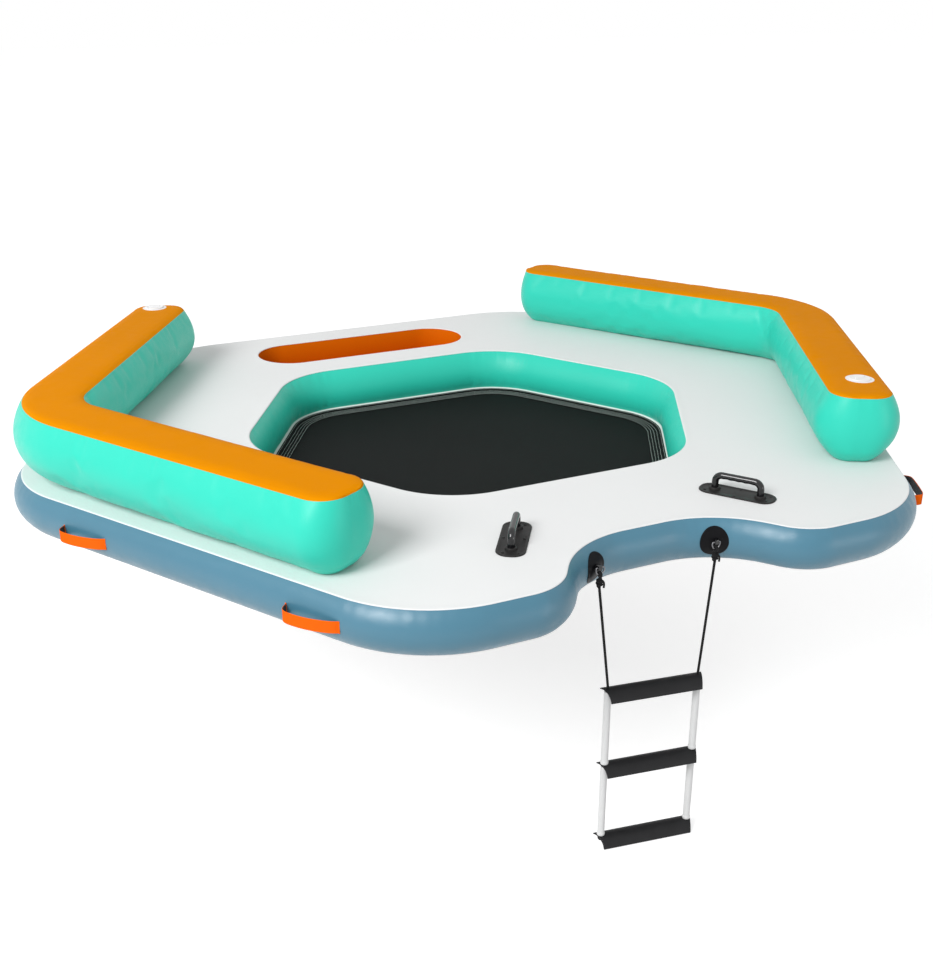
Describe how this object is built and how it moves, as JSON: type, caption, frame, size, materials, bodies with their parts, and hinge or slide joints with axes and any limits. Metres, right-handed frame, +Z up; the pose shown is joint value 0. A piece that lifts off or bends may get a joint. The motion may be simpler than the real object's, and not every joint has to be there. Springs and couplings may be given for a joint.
{
  "type": "inflatable dock platform",
  "caption": "Hexagonal inflatable swim platform with a netted foot well, corner backrests, grab handles, carry straps and a rope ladder.",
  "frame": {"origin": "centre of the deck's flat underside, on the plane where the water holds it up", "axes": "+Z up, +X from the left backrest to the right one, the ladder side faces -Y"},
  "size_m": [3.6272, 3.0852, 1.4548],
  "materials": {
    "air_core": "matte",
    "white_pvc": "satin",
    "blue_pvc": "satin",
    "teal_pvc": "satin",
    "orange_pvc": "satin",
    "orange_liner": "satin",
    "black_net": "matte",
    "black_webbing": "matte",
    "orange_webbing": "matte",
    "black_plastic": "satin",
    "white_plastic": "gloss",
    "white_tube": "satin",
    "black_rubber": "satin",
    "steel": "polished",
    "black_rope": "matte"
  },
  "bodies": {
    "platform": {"deck_bottom_skin": "white_pvc", "deck_core": "air_core", "deck_top_skin": "white_pvc", "deck_valve_body": "white_plastic", "left_backrest_bladder": "teal_pvc", "left_backrest_top_panel": "orange_pvc", "left_front_strap": "orange_webbing", "left_front_strap_lining": "black_webbing", "left_grab_grip": "black_rubber", "left_grab_plate": "black_rubber", "left_ring_keeper": "black_plastic", "left_ring_patch": "black_rubber", "left_side_strap": "orange_webbing", "left_side_strap_lining": "black_webbing", "left_valve_body": "white_plastic", "net_border": "black_webbing", "outer_side_wall": "blue_pvc", "right_backrest_bladder": "teal_pvc", "right_backrest_top_panel": "orange_pvc", "right_front_strap": "orange_webbing", "right_front_strap_lining": "black_webbing", "right_grab_grip": "black_rubber", "right_grab_plate": "black_rubber", "right_ring_keeper": "black_plastic", "right_ring_patch": "black_rubber", "right_side_strap": "orange_webbing", "right_side_strap_lining": "black_webbing", "right_valve_body": "white_plastic", "trough_liner": "orange_liner", "well_flange": "white_pvc", "well_net": "black_net", "well_wall": "teal_pvc"},
    "ladder_hanger": {"left_d_ring": "steel", "left_ladder_rope": "black_rope", "left_rope_eye": "black_rope", "left_rope_knot": "black_rope", "right_d_ring": "steel", "right_ladder_rope": "black_rope", "right_rope_eye": "black_rope", "right_rope_knot": "black_rope", "rung_1": "black_plastic"},
    "ladder_step_2": {"rung_2": "black_plastic", "left_spacer_tube_1": "white_tube", "right_spacer_tube_1": "white_tube", "left_inner_rope_1": "black_rope", "right_inner_rope_1": "black_rope"},
    "ladder_step_3": {"rung_3": "black_plastic", "left_spacer_tube_2": "white_tube", "right_spacer_tube_2": "white_tube", "left_inner_rope_2": "black_rope", "right_inner_rope_2": "black_rope"},
    "left_valve_cap": {"left_valve_cap": "white_plastic"},
    "left_valve_plunger": {"left_valve_plunger": "black_plastic"},
    "right_valve_cap": {"right_valve_cap": "white_plastic"},
    "right_valve_plunger": {"right_valve_plunger": "black_plastic"},
    "deck_valve_cap": {"deck_valve_cap": "white_plastic"},
    "deck_valve_plunger": {"deck_valve_plunger": "black_plastic"}
  },
  "joints": [
    {"name": "ladder_swing", "type": "hinge", "parent": "platform", "child": "ladder_hanger", "pos_m": [0, -1.38883, 0.084], "axis": [-1, 0, 0], "range_deg": [-8, 90]},
    {"name": "ladder_fold_2", "type": "hinge", "parent": "ladder_hanger", "child": "ladder_step_2", "pos_m": [0.015, -1.37953, -0.4005], "axis": [-0.9877, 0.1564, 0], "range_deg": [-12, 12]},
    {"name": "ladder_fold_3", "type": "hinge", "parent": "ladder_step_2", "child": "ladder_step_3", "pos_m": [0.015, -1.37953, -0.6975], "axis": [-0.9877, 0.1564, 0], "range_deg": [-12, 12]},
    {"name": "left_cap_twist", "type": "hinge", "parent": "platform", "child": "left_valve_cap", "pos_m": [-1.01809, 1.22662, 0.4163], "axis": [0, 0, 1], "range_deg": [0, 90]},
    {"name": "left_plunger_press", "type": "slide", "parent": "platform", "child": "left_valve_plunger", "axis": [0, 0, -1], "range_m": [0, 0.006], "stiffness_N_per_m": 150, "springref_m": -0.004},
    {"name": "right_cap_twist", "type": "hinge", "parent": "platform", "child": "right_valve_cap", "pos_m": [1.122, -1.01064, 0.4163], "axis": [0, 0, 1], "range_deg": [0, 90]},
    {"name": "right_plunger_press", "type": "slide", "parent": "platform", "child": "right_valve_plunger", "axis": [0, 0, -1], "range_m": [0, 0.006], "stiffness_N_per_m": 150, "springref_m": -0.004},
    {"name": "deck_cap_twist", "type": "hinge", "parent": "platform", "child": "deck_valve_cap", "pos_m": [0.78044, 1.1, 0], "axis": [0, 0, -1], "range_deg": [0, 90]},
    {"name": "deck_plunger_press", "type": "slide", "parent": "platform", "child": "deck_valve_plunger", "axis": [0, 0, 1], "range_m": [0, 0.006], "stiffness_N_per_m": 150, "springref_m": -0.004}
  ]
}
